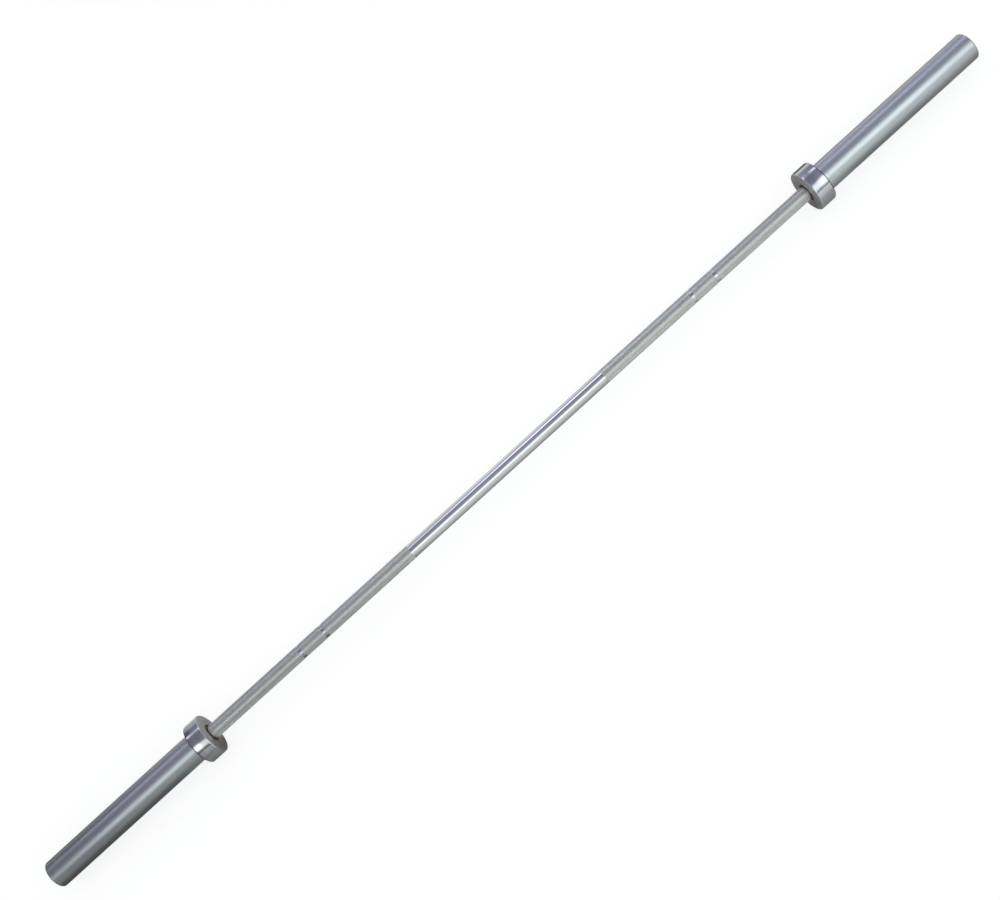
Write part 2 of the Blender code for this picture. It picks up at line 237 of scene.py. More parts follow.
# Strengths across the cards over the bar: (how far up the card, strength)
FILL_LEVELS = ((0.0, 0.68), (1.0, 0.90))
LINE_LEVELS = ((0.0, 0.36),)
KEY_LEVELS = ((0.0, 0.38), (0.1, 0.6), (0.25, 1.32), (0.7, 1.3), (0.88, 0.9), (1.0, 0.4))
CEILING_LEVELS = ((0.0, 0.38), (0.3, 0.29), (0.8, 0.27), (1.0, 0.38))
HAIR_LEVELS = ((0.0, 2.4),)
BACK_LEVELS = ((0.0, 0.53), (0.5, 0.46), (0.62, 0.52), (0.85, 0.86), (1.0, 0.94))

# Strengths across the floor cards, mostly dimmer steeply below the horizon, close to the bar, as
# painted shadow: (degrees below the horizon, strength)
FLOOR_FRONT_LEVELS = ((0.0, 0.62), (15.0, 0.5), (50.0, 0.27), (76.0, 0.1))
FLOOR_BACK_LEVELS = (
    (0.0, 0.88),
    (6.0, 0.8),
    (11.0, 0.56),
    (20.0, 0.42),
    (30.0, 0.4),
    (45.0, 0.28),
    (60.0, 0.3),
    (80.0, 0.45),
)
FLOOR_BLEND = ((4.0, 0.0), (14.0, 1.0))

# Shares of each card's strength along the bar: (place in metres, share)
FILL_SHARES = (
    (-1.9, 0.16),
    (-1.45, 0.47),
    (-1.3, 0.53),
    (-1.05, 0.45),
    (-0.6, 0.55),
    (-0.4, 1.0),
    (1.2, 0.94),
    (1.35, 0.88),
    (1.8, 0.8),
)
KEY_SHARES = (
    (-1.9, 0.36),
    (-1.55, 1.2),
    (-1.42, 1.7),
    (-1.35, 0.88),
    (-1.25, 0.83),
    (-1.05, 0.64),
    (-0.75, 0.74),
    (-0.45, 1.0),
    (0.5, 1.0),
    (0.95, 0.9),
    (1.2, 1.0),
    (1.35, 1.28),
    (1.8, 1.16),
)
CEILING_SHARES = (
    (-1.9, 0.66),
    (-1.4, 0.93),
    (-1.3, 0.85),
    (0.0, 1.33),
    (1.2, 0.92),
    (1.35, 1.17),
    (1.8, 1.12),
)
HAIR_SHARES = (
    (-1.9, 0.2),
    (-1.65, 0.7),
    (-1.4, 0.36),
    (-1.3, 0.24),
    (-0.4, 0.6),
    (0.1, 1.0),
    (0.3, 0.95),
    (1.2, 0.135),
    (1.35, 0.6),
    (1.8, 0.6),
)
BACK_SHARES = (
    (-1.9, 0.08),
    (-1.45, 0.27),
    (-1.35, 0.44),
    (-1.28, 0.68),
    (-1.05, 0.5),
    (-0.55, 0.8),
    (-0.4, 1.1),
    (0, 1.25),
    (1.2, 0.8),
    (1.35, 0.68),
    (1.8, 0.62),
)
FLOOR_FRONT_SHARES = (
    (-1.0, 0.2),
    (-0.76, 0.27),
    (-0.72, 0.58),
    (-0.66, 0.58),
    (-0.62, 0.38),
    (-0.26, 0.4),
    (-0.2, 1.14),
    (0.25, 1.12),
    (0.62, 1.0),
    (0.66, 0.8),
    (0.72, 0.77),
    (0.77, 0.52),
    (1.0, 0.66),
)
FLOOR_BACK_SHARES = (
    (-1.0, 0.28),
    (-0.76, 0.6),
    (-0.72, 1.35),
    (-0.66, 1.35),
    (-0.655, 1.1),
    (0, 1.5),
    (0.58, 0.62),
    (0.655, 0.95),
    (0.66, 0.3),
    (0.72, 0.3),
    (0.77, 0.52),
    (1.0, 0.68),
)


class Span(NamedTuple):
    """A round piece's two places along the bar, counted outwards from its middle, and its radius."""

    inner: float
    outer: float
    radius: float


class Side:
    """One end of the bar, with the places of its pieces read from the frame."""

    def __init__(self, name, sign):
        self.name = name
        self.sign = sign
        self.body = f"{name}_sleeve"
        self.collar = self.span("collar")
        self.sleeve = self.span("sleeve")
        self.washer = self.span("inner_thrust_washer")
        self.shaft_ring = self.span("shaft_snap_ring")
        self.cap = self.span("end_cap")
        self.cap_ring = self.span("cap_snap_ring")

    def node(self, piece):
        """The CAD node's name at this end."""
        return f"{self.name}_{piece}"

    def span(self, piece):
        """Where a round CAD node lies."""
        low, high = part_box(self.node(piece))
        inner, outer = sorted((abs(low[0]), abs(high[0])))
        return Span(inner, outer, (high[2] - low[2]) / 2)


RIGHT = Side("right", 1)
SIDES = (RIGHT, Side("left", -1))


def looks():
    """The sizes and colours that the panel shows."""
    return bpy.context.scene.barbell_looks


class BarbellLooks(bpy.types.PropertyGroup):
    """Sizes and colours of the finish."""

    turn_segments: IntProperty(
        name="Turning segments",
        description="Flats round each turned surface",
        default=144,
        min=24,
    )
    smooth_centre: FloatProperty(
        name="Smooth centre",
        description="Length of the plain polished middle of the shaft",
        default=425 * MM,
        unit="LENGTH",
    )
    mark_spacing: FloatProperty(
        name="Mark spacing",
        description="Distance between the inner pair of mark rings",
        default=810 * MM,
        unit="LENGTH",
    )
    mark_step: FloatProperty(
        name="Mark step",
        description="Distance from an inner mark ring to the outer one on its side",
        default=50 * MM,
        unit="LENGTH",
    )
    mark_width: FloatProperty(
        name="Mark width",
        description="Width of a mark ring",
        default=6 * MM,
        unit="LENGTH",
    )
    knurls_round: IntProperty(
        name="Diamonds round the shaft",
        description="Knurl diamonds in one turn",
        default=60,
        min=12,
    )
    knurl_depth: FloatProperty(
        name="Knurl depth",
        description="From the bottom of the cuts to the top of the diamonds",
        default=0.24 * MM,
        unit="LENGTH",
    )
    sleeve_colour: FloatVectorProperty(
        name="Sleeve chrome",
        description="Colour of the satin sleeves",
        default=(0.74, 0.78, 0.81),
        subtype="COLOR",
    )
    collar_colour: FloatVectorProperty(
        name="Collar chrome",
        description="Colour of the polished collars",
        default=(0.56, 0.575, 0.585),
        subtype="COLOR",
    )
    face_colour: FloatVectorProperty(
        name="Turned face",
        description="Colour of the collars' turned inner faces",
        default=(0.62, 0.62, 0.63),
        subtype="COLOR",
    )
    shaft_colour: FloatVectorProperty(
        name="Shaft chrome",
        description="Colour of the polished plain stretches of the shaft",
        default=(0.80, 0.80, 0.81),
        subtype="COLOR",
    )
    knurl_colour: FloatVectorProperty(
        name="Knurled steel",
        description="Colour of the cut diamonds",
        default=(0.815, 0.825, 0.795),
        subtype="COLOR",
    )
    bronze_colour: FloatVectorProperty(
        name="Bronze",
        description="Colour of the washers and bushings",
        default=(0.30, 0.135, 0.075),
        subtype="COLOR",
    )


class Value:
    """A socket in a finish. Arithmetic on it adds Math nodes."""

    def __init__(self, finish, socket):
        self.finish = finish
        self.socket = socket

    def maths(self, operation, other):
        """One Math node, with this value first."""
        return self.finish.node("Math", {"operation": operation}, {0: self, 1: other})

    def __add__(self, other):
        return self.maths("ADD", other)

    def __sub__(self, other):
        return self.maths("SUBTRACT", other)

    def __rsub__(self, other):
        return self.finish.node("Math", {"operation": "SUBTRACT"}, {0: other, 1: self})

    def __mul__(self, other):
        return self.maths("MULTIPLY", other)

    def __pow__(self, other):
        return self.maths("POWER", other)

    __radd__ = __add__
    __rmul__ = __mul__


class Finish:
    """A material or world made of nodes."""

    def __init__(self, owner):
        owner.use_nodes = True
        self.owner = owner
        self.tree = owner.node_tree
        self.tree.nodes.clear()

    def node(self, kind, settings=None, values=None, out=0):
        """Adds a node, sets it up, feeds its sockets and returns one of its outputs."""
        made = self.tree.nodes.new(f"ShaderNode{kind}")
        for key, setting in (settings or {}).items():
            setattr(made, key, setting)
        for key, value in (values or {}).items():
            if isinstance(value, Value):
                self.tree.links.new(value.socket, made.inputs[key])
            else:
                made.inputs[key].default_value = value
        return Value(self, made.outputs[out]) if made.outputs else None

    def place(self):
        """The point on the piece, in the bar's own frame at rest."""
        return self.node("TexCoord", out="Object")

    def off_axis(self, place):
        """Distance of a point from the bar's axis."""
        flat = self.node("VectorMath", {"operation": "MULTIPLY"}, {0: place, 1: (0, 1, 1)})
        return self.node("VectorMath", {"operation": "LENGTH"}, {0: flat}, "Value")

    def stretched(self, place, along, across):
        """A point scaled along the bar and across it, for grain that runs one way."""
        values = {"Vector": place, "Scale": (along, across, across)}
        return self.node("Mapping", {"vector_type": "POINT"}, values)

    def noise(self, place, scale, detail, roughness=0.5):
        """Smooth noise from 0 to 1."""
        values = {"Vector": place, "Scale": scale, "Detail": detail, "Roughness": roughness}
        return self.node("TexNoise", None, values)

    def share(self, value, least, most, blend="LINEAR"):
        """How far a value has come from one limit to another, from 0 to 1."""
        values = {"Value": value, "From Min": least, "From Max": most}
        return self.node("MapRange", {"interpolation_type": blend}, values)

    def mix(self, amount, first, second):
        """Two colours mixed by an amount."""
        values = {MIX_AMOUNT: amount, MIX_FIRST: rgba(first), MIX_SECOND: rgba(second)}
        return self.node("Mix", {"data_type": "RGBA"}, values, MIX_RESULT)

    def bump(self, height, strength, distance):
        """A normal bent by a height."""
        values = {"Height": height, "Strength": strength, "Distance": distance}
        return self.node("Bump", None, values)

    def metal(self, colour, roughness, normal=None, metallic=1.0):
        """Ends the finish in a Principled shader."""
        values = {"Base Color": colour, "Roughness": roughness, "Metallic": metallic}
        if normal is not None:
            values["Normal"] = normal
        shader = self.node("BsdfPrincipled", None, values)
        self.node("OutputMaterial", None, {"Surface": shader})
        return self.owner


def rgba(colour):
    """A colour with its alpha, or a link as it is."""
    if isinstance(colour, Value):
        return colour
    return (*colour, 1.0)


def scaled(colour, factor):
    """A colour made darker or brighter by a factor."""
    return [part * factor for part in colour]


def new_finish(name):
    """An empty material to build up."""
    return Finish(bpy.data.materials.new(name))


def satin_chrome(name, colour):
    """Plated sleeves: fine polishing rings, faint streaks along the bar and dull rubbed patches."""
    finish = new_finish(name)
    place = finish.place()
    rings = finish.noise(finish.stretched(place, along=900.0, across=6.0), scale=1.0, detail=3.0)
    streaks = finish.noise(finish.stretched(place, along=2.2, across=170.0), scale=1.0, detail=3.0)
    clouds = finish.noise(place, scale=9.0, detail=4.0, roughness=0.6)
    rubbed = finish.share(clouds, 0.42, 0.72)
    shade = finish.mix(streaks * 0.5 + clouds * 0.3, scaled(colour, 0.86), colour)
    roughness = 0.30 + rings * 0.06 + streaks * 0.05 + rubbed * 0.05
    normal = finish.bump(rings * 0.8 + streaks * 0.2, strength=0.05, distance=0.02 * MM)
    return finish.metal(shade, roughness, normal)


def polished_chrome(name, colour, roughness):
    """Bright plating with faint haze and hairline scratches."""
    finish = new_finish(name)
    place = finish.place()
    haze = finish.noise(place, scale=26.0, detail=3.0)
    hairs = finish.noise(finish.stretched(place, along=1400.0, across=14.0), scale=1.0, detail=2.0)
    shade = finish.mix(haze, scaled(colour, 0.9), colour)
    normal = finish.bump(hairs, strength=0.05, distance=0.01 * MM)
    return finish.metal(shade, roughness + haze * 0.05 + hairs * 0.03, normal)


def turned_face(name, colour, roughness):
    """A lathe-turned end face: fine rings about the axis, darker towards the shaft."""
    finish = new_finish(name)
    place = finish.place()
    radius = finish.off_axis(place)
    point = finish.node("CombineXYZ", None, {"X": radius})
    rings = finish.noise(point, scale=2600.0, detail=2.0)
    patches = finish.noise(place, scale=60.0, detail=3.0)
    # Darker and warmer towards the axis, unevenly by patches
    towards_axis = 1 - finish.share(radius, *AXIS_DARKENING_RADII, blend="SMOOTHSTEP")
    darker_warmer_colour = [part * tint for part, tint in zip(colour, AXIS_DARKENING_TINT)]
    shade = finish.mix(towards_axis * (0.4 + patches * 0.6), colour, darker_warmer_colour)
    normal = finish.bump(rings, strength=0.25, distance=0.03 * MM)
    return finish.metal(shade, roughness + rings * 0.12, normal)


def knurled_steel(name, colour, crest, depth):
    """Cut diamonds: the colour darkens from the crests down into the cuts as painted shade, and the
    plating is a little uneven.
    """
    finish = new_finish(name)
    place = finish.place()
    height = finish.share(finish.off_axis(place), crest - depth, crest)
    patches = finish.noise(place, scale=34.0, detail=4.0, roughness=0.6)
    plated = finish.mix(patches, scaled(colour, 0.9), colour)
    # Painted shade: the colour is darker from the crests down to the bottoms of the cuts
    shade = finish.mix(height ** 0.7, scaled(colour, 0.8), plated)
    return finish.metal(shade, 0.36 - height * 0.06 + patches * 0.04)


def bronze(name, colour):
    """Sintered bearing bronze, oiled and slightly mottled."""
    finish = new_finish(name)
    place = finish.place()
    grain = finish.noise(place, scale=900.0, detail=3.0)
    patches = finish.noise(place, scale=120.0, detail=3.0)
    shade = finish.mix(patches, scaled(colour, 0.6), colour)
    normal = finish.bump(grain, strength=0.3, distance=0.03 * MM)
    return finish.metal(shade, 0.34 + grain * 0.14, normal)


def plain_steel(name, colour, roughness):
    """Bare or oil-blackened steel with a fine grain. On the collars' outer rounds its dark colour is
    painted shade.
    """
    finish = new_finish(name)
    place = finish.place()
    grain = finish.noise(place, scale=700.0, detail=3.0)
    patches = finish.noise(place, scale=80.0, detail=3.0)
    shade = finish.mix(patches, scaled(colour, 0.75), colour)
    normal = finish.bump(grain, strength=0.2, distance=0.02 * MM)
    return finish.metal(shade, roughness + grain * 0.12, normal)


def seal_rubber(name):
    """Black rubber with a faint bloom."""
    finish = new_finish(name)
    bloom = finish.noise(finish.place(), scale=300.0, detail=3.0)
    shade = finish.mix(bloom, (0.012, 0.012, 0.012), (0.03, 0.03, 0.032))
    return finish.metal(shade, 0.55 + bloom * 0.2, metallic=0.0)


def finish_named(name, maker, **values):
    """The material of that name, made the first time that it is asked for."""
    return bpy.data.materials.get(name) or maker(name, **values)


def evenly(start, end, count):
    """Places from a start to an end, both included."""
    return [start + (end - start) * step / count for step in range(count + 1)]


def arc(along, radius, size, start, end, steps):
    """Corners of a rounded edge about a centre in an outline, from one angle to another."""
    points = []
    for angle in evenly(start, end, steps):
        points.append((along + size * math.cos(angle), radius + size * math.sin(angle)))
    return points


def inner_round(along, radius, size, steps=6):
    """A rounded edge from a face that looks towards the bar's middle up to a surface."""
    return arc(along + size, radius - size, size, math.pi, math.pi / 2, steps)


def outer_round(along, radius, size, steps=6):
    """A rounded edge from a surface down to a face that looks outwards."""
    return arc(along - size, radius - size, size, math.pi / 2, 0.0, steps)


def rounded(outline, size, steps=3):
    """An outline with each of its corners eased by a small radius."""
    eased = []
    count = len(outline)
    for index, corner in enumerate(outline):
        here = Vector(corner)
        before = Vector(outline[index - 1]) - here
        after = Vector(outline[(index + 1) % count]) - here
        reach = min(size, before.length / 2, after.length / 2)
        start = here + before.normalized() * reach
        end = here + after.normalized() * reach
        for part in evenly(0.0, 1.0, steps):
            point = start * (1 - part) ** 2 + here * 2 * part * (1 - part) + end * part**2
            eased.append((point.x, point.y))
    return eased


def around(along, radius, angle):
    """The point at a place along the bar, a radius and an angle about its axis."""
    return Vector((along, radius * math.cos(angle), radius * math.sin(angle)))


def turned(outline, sign, closed=True, segments=None):
    """A mesh turned about X from (along, radius) corners. Corners on the axis become poles."""
    segments = segments or looks().turn_segments
    bm = bmesh.new()
    rings = []
    for along, radius in outline:
        ring = []
        for step in range(segments if radius else 1):
            ring.append(bm.verts.new(around(sign * along, radius, math.tau * step / segments)))
        rings.append(ring)
    pairs = list(zip(rings, rings[1:]))
    if closed:
        pairs.append((rings[-1], rings[0]))
    for first, second in pairs:
        join_rings(bm, first, second, segments)
    bmesh.ops.recalc_face_normals(bm, faces=bm.faces)
    return bm


def join_rings(bm, first, second, segments):
    """Faces between two rings of a turned mesh, either of which may be a pole."""
    for step in range(segments):
        after = (step + 1) % segments
        if len(first) == 1:
            bm.faces.new((first[0], second[step], second[after]))
        elif len(second) == 1:
            bm.faces.new((first[step], second[0], first[after]))
        else:
            bm.faces.new((first[step], second[step], second[after], first[after]))


def finish_across(bm, sign, least, most, index):
    """Gives another finish to the faces that look along the bar by a share between two limits."""
    bm.normal_update()
    for face in bm.faces:
        if least < face.normal.x * sign < most:
            face.material_index = index


def mesh_of(name, bm, finishes=()):
    """A mesh with a bmesh's shape and some finishes. The bmesh is freed."""
    mesh = bpy.data.meshes.new(name)
    bm.to_mesh(mesh)
    bm.free()
    for finish in finishes:
        mesh.materials.append(finish)
    return mesh


def in_scene(name, data):
    """A new object in the scene."""
    made = bpy.data.objects.new(name, data)
    bpy.context.scene.collection.objects.link(made)
    return made


def pointing(centre, direction):
    """The matrix that turns X into a direction and brings the origin to a centre."""
    turn = direction.to_track_quat("X", "Z").to_matrix().to_4x4()
    return Matrix.Translation(centre) @ turn


def drilled(bm, finishes, holes):
    """A mesh with round holes cut out of it, each (centre, direction, radius, length)."""
    blank = in_scene("drilled", mesh_of("drilled", bm, finishes))
    made = [blank]
    for centre, direction, radius, length in holes:
        half = length / 2
        outline = [(-half, 0.0), (-half, radius), (half, radius), (half, 0.0)]
        bit = turned(outline, 1, closed=False, segments=DRILL_SEGMENTS)
        drill = in_scene("drill", mesh_of("drill", bit))
        drill.matrix_world = pointing(centre, direction)
        cut = blank.modifiers.new("hole", "BOOLEAN")
        cut.operation = "DIFFERENCE"
        cut.solver = "EXACT"
        cut.object = drill
        made.append(drill)
    depsgraph = bpy.context.evaluated_depsgraph_get()
    result = bmesh.new()
    result.from_mesh(blank.evaluated_get(depsgraph).to_mesh())
    for item in made:
        mesh = item.data
        bpy.data.objects.remove(item)
        bpy.data.meshes.remove(mesh)
    return result


def add_piece(name, bm, finishes, body, node, sharp=SHARP_ANGLE):
    """Turns a bmesh into a smooth piece that rides on a body and stands for a CAD node."""
    mesh = mesh_of(name, bm, finishes)
    mesh.shade_smooth()
    mesh.set_sharp_from_angle(angle=math.radians(sharp))
    made = in_scene(name, mesh)
    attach(made, body)
    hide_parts(node)


def shaft_bands():
    """The knurled stretches of one half of the shaft, as (start, end) along it."""
    sizes = looks()
    edges = [sizes.smooth_centre / 2]
    for mark in (sizes.mark_spacing / 2, sizes.mark_spacing / 2 + sizes.mark_step):
        edges += [mark - sizes.mark_width / 2, mark + sizes.mark_width / 2]
    edges.append(RIGHT.collar.inner - KNURL_TO_COLLAR)
    return list(zip(edges[0::2], edges[1::2]))


def dip_under_band(edge, inward, radius):
    """Corners where the core dips from a radius under a knurled band's edge."""
    return [
        (edge - inward * DIP_OUTSIDE, radius),
        (edge + inward * DIP_STEP, radius - DIP_STEP_DEPTH),
        (edge + inward * DIP_INSIDE, CORE_UNDER_KNURL),
    ]


def shaft_half_outline():
    """The shaft without its knurling, from the middle out to the pole at its end."""
    outline = []
    bands = shaft_bands()
    for index, (start, end) in enumerate(bands):
        before = PLAIN_RADIUS if index == 0 else MARK_RADIUS
        after = PLAIN_RADIUS if index == len(bands) - 1 else MARK_RADIUS
        outline += dip_under_band(start, 1, before)
        outline += reversed(dip_under_band(end, -1, after))
    shoulder = RIGHT.collar.inner + SHOULDER_IN_COLLAR
    groove = (RIGHT.shaft_ring.inner - FIT, RIGHT.shaft_ring.outer + FIT)
    outline += [
        (shoulder - SHOULDER_CHAMFER, PLAIN_RADIUS),
        (shoulder, PLAIN_RADIUS - SHOULDER_CHAMFER),
        (shoulder, JOURNAL_RADIUS),
        (groove[0], JOURNAL_RADIUS),
        (groove[0], SNAP_GROOVE_RADIUS),
        (groove[1], SNAP_GROOVE_RADIUS),
        (groove[1], JOURNAL_RADIUS),
        (SHAFT_HALF - JOURNAL_CHAMFER, JOURNAL_RADIUS),
        (SHAFT_HALF, JOURNAL_RADIUS - JOURNAL_CHAMFER),
        (SHAFT_HALF, 0.0),
    ]
    return outline


def make_shaft():
    """The polished core of the shaft: plain centre, mark rings, shoulders and journals."""
    half = shaft_half_outline()
    outline = [(-along, radius) for along, radius in reversed(half)] + half
    bm = turned(outline, 1, closed=False)
    colour = looks().shaft_colour[:]
    chrome = finish_named("shaft_chrome", polished_chrome, colour=colour, roughness=0.05)
    add_piece("shaft_core", bm, [chrome], "shaft", "shaft")


def add_diamond(bm, foot, top):
    """A knurl diamond's flat top and four flanks, from the corners of its foot and its top."""
    bm.faces.new(top)
    for index in range(4):
        after = (index + 1) % 4
        bm.faces.new((foot[index], foot[after], top[after], top[index]))


def knurl_band(start, end, sign):
    """A closed ring of cut diamonds between two places along the shaft.

    Diamond centres and the crossings of the cuts share one lattice of points. A centre is where the
    two counts along and round it add up to an even number, and its top is a small flat.
    """
    sizes = looks()
    count = sizes.knurls_round * 2
    valley = KNURL_CREST - sizes.knurl_depth
    half_width = math.tau * KNURL_CREST / count
    rows = max(4, round((end - start) / (half_width * DIAMOND_STRETCH)))
    rows -= rows % 2
    step = (end - start) / rows
    bm = bmesh.new()

    def point(row, turn, radius):
        place = around(sign * (start + row * step), radius, math.tau * turn / count)
        return bm.verts.new(place)

    cuts = {}
    for row in range(rows + 1):
        for turn in range(count):
            if (row + turn) % 2 or row in (0, rows):
                cuts[row, turn] = point(row, turn, valley)
    for row in range(1, rows):
        for turn in range(row % 2, count, 2):
            corners = [(row, turn - 1), (row + 1, turn), (row, turn + 1), (row - 1, turn)]
            foot = [cuts[r, t % count] for r, t in corners]
            top = []
            for r, t in corners:
                along = row + (r - row) * FLAT_TOP
                top.append(point(along, turn + (t - turn) * FLAT_TOP, KNURL_CREST))
            add_diamond(bm, foot, top)
    skin = []
    for row, beside in ((0, 1), (rows, rows - 1)):
        for turn in range(0, count, 2):
            for hand in (-1, 1):
                edge = cuts[row, (turn + hand) % count]
                bm.faces.new((edge, cuts[row, turn], cuts[beside, turn]))
        ring = [cuts[row, turn] for turn in range(count)]
        skin.append((ring, [point(row, turn, KNURL_SKIN_RADIUS) for turn in range(count)]))
    (near, near_skin), (far, far_skin) = skin
    for first, second in ((near, near_skin), (near_skin, far_skin), (far_skin, far)):
        join_rings(bm, first, second, count)
    bmesh.ops.recalc_face_normals(bm, faces=bm.faces)
    return bm


def make_knurling():
    """Three knurled bands on each half of the shaft."""
    sizes = looks()
    steel = finish_named(
        "knurled_steel",
        knurled_steel,
        colour=sizes.knurl_colour[:],
        crest=KNURL_CREST,
        depth=sizes.knurl_depth,
    )
    for side in SIDES:
        for index, (start, end) in enumerate(shaft_bands()):
            bm = knurl_band(start, end, side.sign)
            name = f"{side.name}_knurl_{index + 1}"
            add_piece(name, bm, [steel], "shaft", "shaft", KNURL_SHARP_ANGLE)


def face_finish():
    """The turned steel of the flush inner faces of collar and sleeve."""
    colour = looks().face_colour[:]
    return finish_named("turned_face", turned_face, colour=colour, roughness=0.5)


def pin_axis(side):
    """(place on the bar's axis, direction outwards) of the pin that locks a collar."""
    low, high = (Vector(corner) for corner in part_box(side.node("collar_pin")))
    centre = (low + high) / 2
    return Vector((centre.x, 0, 0)), Vector((0, centre.y, centre.z)).normalized()


def pin_hole(side):
    """The blind hole through a collar into its sleeve."""
    foot, outward = pin_axis(side)
    start = side.sleeve.radius - PIN_DEPTH_IN_SLEEVE
    length = side.collar.radius + DRILL_OVERSHOOT - start
    return foot + outward * (start + length / 2), outward, PIN_RADIUS + FIT, length


def make_sleeve(side):
    """A satin sleeve with its rounded end, the stepped pocket for the cap and the pin's hole."""
    inner, outer, radius = side.sleeve
    groove = (side.cap_ring.inner - FIT, side.cap_ring.outer + FIT)
    outline = [
        (inner + MOUTH_CHAMFER, SLEEVE_BORE_RADIUS),
        (inner, SLEEVE_BORE_RADIUS + MOUTH_CHAMFER),
        (inner, radius - FACE_CHAMFER),
        (inner + FACE_CHAMFER, radius),
        (side.collar.outer - RING_UNDER_COLLAR, radius),
    ]
    outline += outer_round(outer, radius, SLEEVE_END_ROUND)
    outline += [
        (outer, POCKET_RADIUS + MOUTH_CHAMFER),
        (outer - MOUTH_CHAMFER, POCKET_RADIUS),
        (groove[1], POCKET_RADIUS),
        (groove[1], POCKET_RADIUS + RING_GROOVE_DEPTH),
        (groove[0], POCKET_RADIUS + RING_GROOVE_DEPTH),
        (groove[0], POCKET_RADIUS),
        (outer - POCKET_DEPTH, POCKET_RADIUS),
        (outer - POCKET_DEPTH, SLEEVE_BORE_RADIUS),
    ]
    bm = turned(outline, side.sign)
    finish_across(bm, -side.sign, FACE_FROM, math.inf, 1)
    chrome = finish_named("satin_chrome", satin_chrome, colour=looks().sleeve_colour[:])
    finishes = [chrome, face_finish()]
    bm = drilled(bm, finishes, [pin_hole(side)])
    name = f"{side.name}_sleeve_tube"
    add_piece(name, bm, finishes, side.body, side.node("sleeve"))


def make_collar(side):
    """A polished collar: a large round on the shaft side, a turned face and the hole for its pin."""
    inner, outer, radius = side.collar
    bore = side.sleeve.radius + COLLAR_SEAM
    outline = [(inner + FACE_CHAMFER, bore), (inner, bore + FACE_CHAMFER)]
    outline += inner_round(inner, radius, COLLAR_INNER_ROUND, steps=10)
    outline += outer_round(outer, radius, COLLAR_OUTER_ROUND)
    outline += [(outer, bore + COLLAR_BORE_CHAMFER), (outer - COLLAR_BORE_CHAMFER, bore)]
    bm = turned(outline, side.sign)
    finish_across(bm, -side.sign, FACE_FROM, math.inf, 1)
    finish_across(bm, side.sign, EDGE_FROM, EDGE_TO, 2)
    colour = looks().collar_colour[:]
    chrome = finish_named("collar_chrome", polished_chrome, colour=colour, roughness=0.07)
    # The outer round gets dark steel: painted shade and reflection for the dark seam where the
    # collar meets the sleeve
    dark = (0.15, 0.15, 0.155)
    edge = finish_named("collar_edge", plain_steel, colour=dark, roughness=0.3)
    finishes = [chrome, face_finish(), edge]
    bm = drilled(bm, finishes, [pin_hole(side)])
    name = f"{side.name}_collar_ring"
    add_piece(name, bm, finishes, side.body, side.node("collar"))


def bronze_finish():
    """The bronze of washers and bushings."""
    return finish_named("bearing_bronze", bronze, colour=looks().bronze_colour[:])


def spring_finish():
    """Oil-blackened spring steel."""
    colour = (0.05, 0.05, 0.055)
    return finish_named("spring_steel", plain_steel, colour=colour, roughness=0.35)


def make_washer(side):
    """The bronze thrust washer that shows round the shaft in the collar's mouth."""
    inner, outer, radius = side.washer
    bore = JOURNAL_RADIUS + FIT
    outline = [(inner, bore), (inner, radius), (outer, radius), (outer, bore)]
    bm = turned(rounded(outline, WASHER_EDGE), side.sign)
    name = f"{side.name}_bronze_washer"
    add_piece(name, bm, [bronze_finish()], "shaft", side.node("inner_thrust_washer"))


def make_pin(side):
    """The hardened pin, a little below the collar's surface."""
    foot, outward = pin_axis(side)
    start = side.sleeve.radius - PIN_DEPTH_IN_SLEEVE + FIT
    end = side.collar.radius - PIN_SUNK
    outline = [(start, 0.0)]
    outline += inner_round(start, PIN_RADIUS, PIN_EDGE)
    outline += outer_round(end, PIN_RADIUS, PIN_EDGE)
    outline += [(end, 0.0)]
    bm = turned(outline, 1, closed=False, segments=DRILL_SEGMENTS)
    bmesh.ops.transform(bm, matrix=pointing(foot, outward), verts=bm.verts)
    colour = (0.30, 0.30, 0.31)
    steel = finish_named("pin_steel", plain_steel, colour=colour, roughness=0.3)
    name = f"{side.name}_lock_pin"
    add_piece(name, bm, [steel], side.body, side.node("collar_pin"))


def make_cap(side):
    """The end cap: a flange with the seal's groove, and a boss with a threaded blind hole."""
    inner, outer, radius = side.cap
    flange = inner + CAP_FLANGE
    groove_start = inner + (CAP_FLANGE - CAP_GROOVE_WIDTH) / 2
    groove_end = groove_start + CAP_GROOVE_WIDTH
    outline = [(inner, 0.0)]
    outline += inner_round(inner, radius, CAP_EDGE, steps=4)
    outline += [(groove_start, radius), (groove_start, CAP_GROOVE_FLOOR)]
    outline += [(groove_end, CAP_GROOVE_FLOOR), (groove_end, radius)]
    outline += [(flange - CAP_FLANGE_CHAMFER, radius), (flange, radius - CAP_FLANGE_CHAMFER)]
    outline += [(flange, CAP_BOSS_RADIUS)]
    outline += outer_round(outer, CAP_BOSS_RADIUS, CAP_EDGE, steps=4)
    outline += [(outer, TAP_RADIUS + CAP_EDGE), (outer - CAP_EDGE, TAP_RADIUS)]
    for turn in range(int((TAP_DEPTH - 2 * CAP_EDGE) / THREAD_PITCH)):
        top = outer - CAP_EDGE - turn * THREAD_PITCH
        outline += [(top - THREAD_PITCH / 2, TAP_RADIUS + THREAD_DEPTH)]
        outline += [(top - THREAD_PITCH, TAP_RADIUS)]
    bottom = outer - TAP_DEPTH
    outline += [(bottom, TAP_RADIUS), (bottom - TAP_CONE, 0.0)]
    bm = turned(outline, side.sign, closed=False)
    colour = (0.42, 0.425, 0.44)
    steel = finish_named("cap_steel", turned_face, colour=colour, roughness=0.28)
    name = f"{side.name}_cap_plug"
    add_piece(name, bm, [steel], side.body, side.node("end_cap"))


